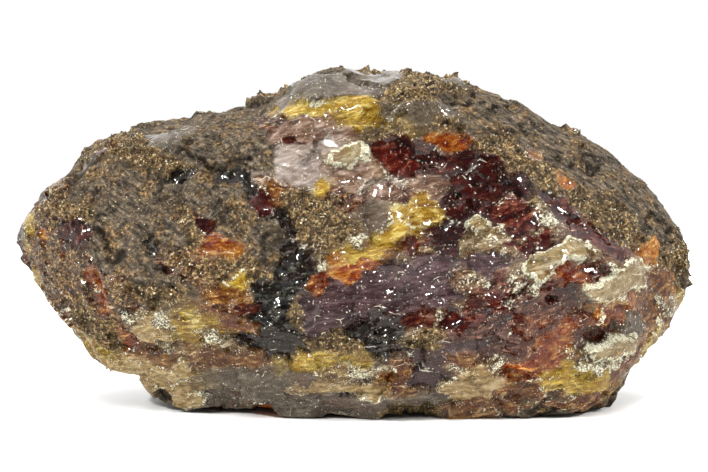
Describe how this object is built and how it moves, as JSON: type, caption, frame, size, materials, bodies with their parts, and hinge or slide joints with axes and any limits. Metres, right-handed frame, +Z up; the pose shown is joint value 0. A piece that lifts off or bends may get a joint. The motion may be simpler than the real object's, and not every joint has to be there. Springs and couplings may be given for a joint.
{
  "type": "raw amber piece",
  "caption": "Palm-sized rough lump of see-through brown amber with glassy fractured faces, bruised pale chips and bands of dull weathered rind, lying on its flattest side.",
  "frame": {"origin": "on the surface the stone rests on, under the middle of its box", "axes": "+X along the stone's length towards its blunt end, +Z up, -Y the front with the broken glassy faces"},
  "size_m": [0.08, 0.038, 0.0398],
  "materials": {
    "amber": "gloss",
    "rind": "matte",
    "inclusion": "satin"
  },
  "bodies": {
    "root": {"amber": "amber"}
  },
  "joints": []
}
